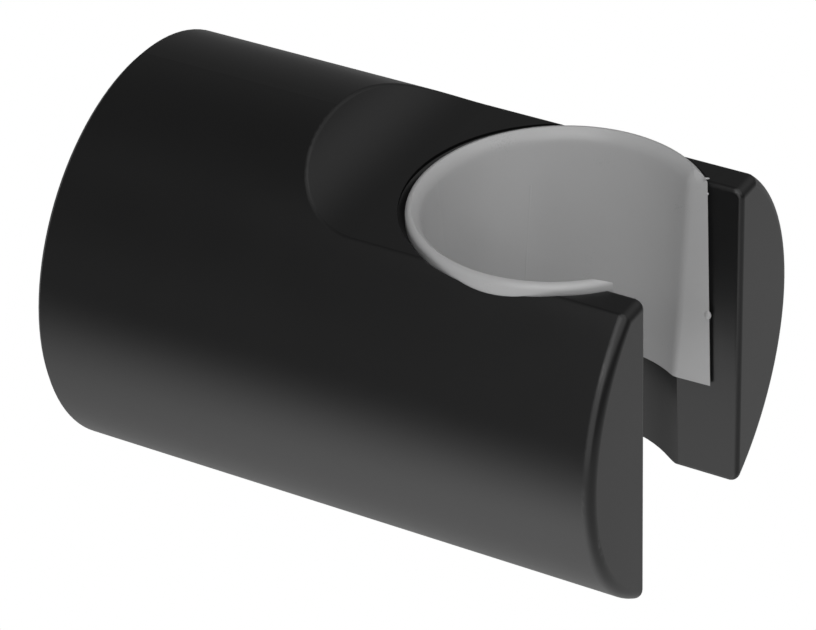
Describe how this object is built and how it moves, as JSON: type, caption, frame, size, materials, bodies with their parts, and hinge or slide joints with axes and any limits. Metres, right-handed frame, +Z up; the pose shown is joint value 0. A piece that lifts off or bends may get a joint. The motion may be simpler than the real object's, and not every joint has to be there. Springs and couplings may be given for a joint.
{
  "type": "hand shower holder",
  "caption": "Round wall-mounted hand shower holder: a short cylinder with a scooped flat, a lined tapered cup for the handset and a front slot for the hose.",
  "frame": {"origin": "centre of the round wall face, where the holder meets the wall", "axes": "+Y into the wall, so the arm stands out along -Y; +Z up along the cup; +X along the wall"},
  "size_m": [0.04, 0.0577, 0.04],
  "materials": {
    "body_finish": "satin matte black",
    "liner_plastic": "satin mid grey",
    "bracket_steel": "turned",
    "screw_steel": "machined"
  },
  "bodies": {
    "root": {"holder_body": "body_finish", "cup_liner": "liner_plastic", "wall_bracket": "bracket_steel", "grub_screw": "screw_steel"}
  },
  "joints": []
}
